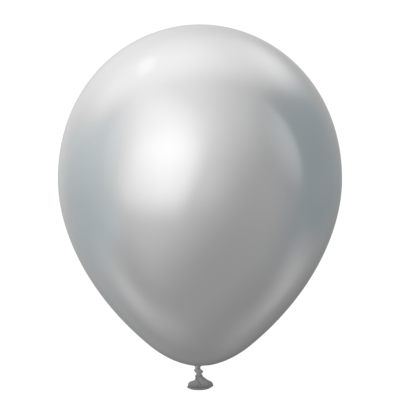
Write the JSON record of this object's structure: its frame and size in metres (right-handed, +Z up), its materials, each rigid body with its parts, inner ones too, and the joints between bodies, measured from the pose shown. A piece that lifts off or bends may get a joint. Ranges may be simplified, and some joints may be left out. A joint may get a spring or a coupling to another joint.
{
  "type": "inflated chrome-effect latex balloon",
  "caption": "Round inflated latex party balloon with a chrome-effect finish, tied in a knot, with its flared tail and rolled rim hanging below",
  "frame": {"origin": "on the body's axis, at the height of the waist where the gathered neck leaves the inflated body", "axes": "+Z up along the body's axis, towards the crown; -Y is the front; +X is to the right as seen from the front"},
  "size_m": [0.3, 0.3, 0.3859],
  "materials": {
    "stretched_latex": "chrome-effect silver latex, stretched thin, with a soft satin gloss",
    "relaxed_latex": "the same silver latex, unstretched, so darker and more satin"
  },
  "bodies": {
    "root": {"envelope": "stretched_latex", "neck": "relaxed_latex", "knot": "relaxed_latex", "tail": "relaxed_latex", "lip_bead": "relaxed_latex"}
  },
  "joints": []
}
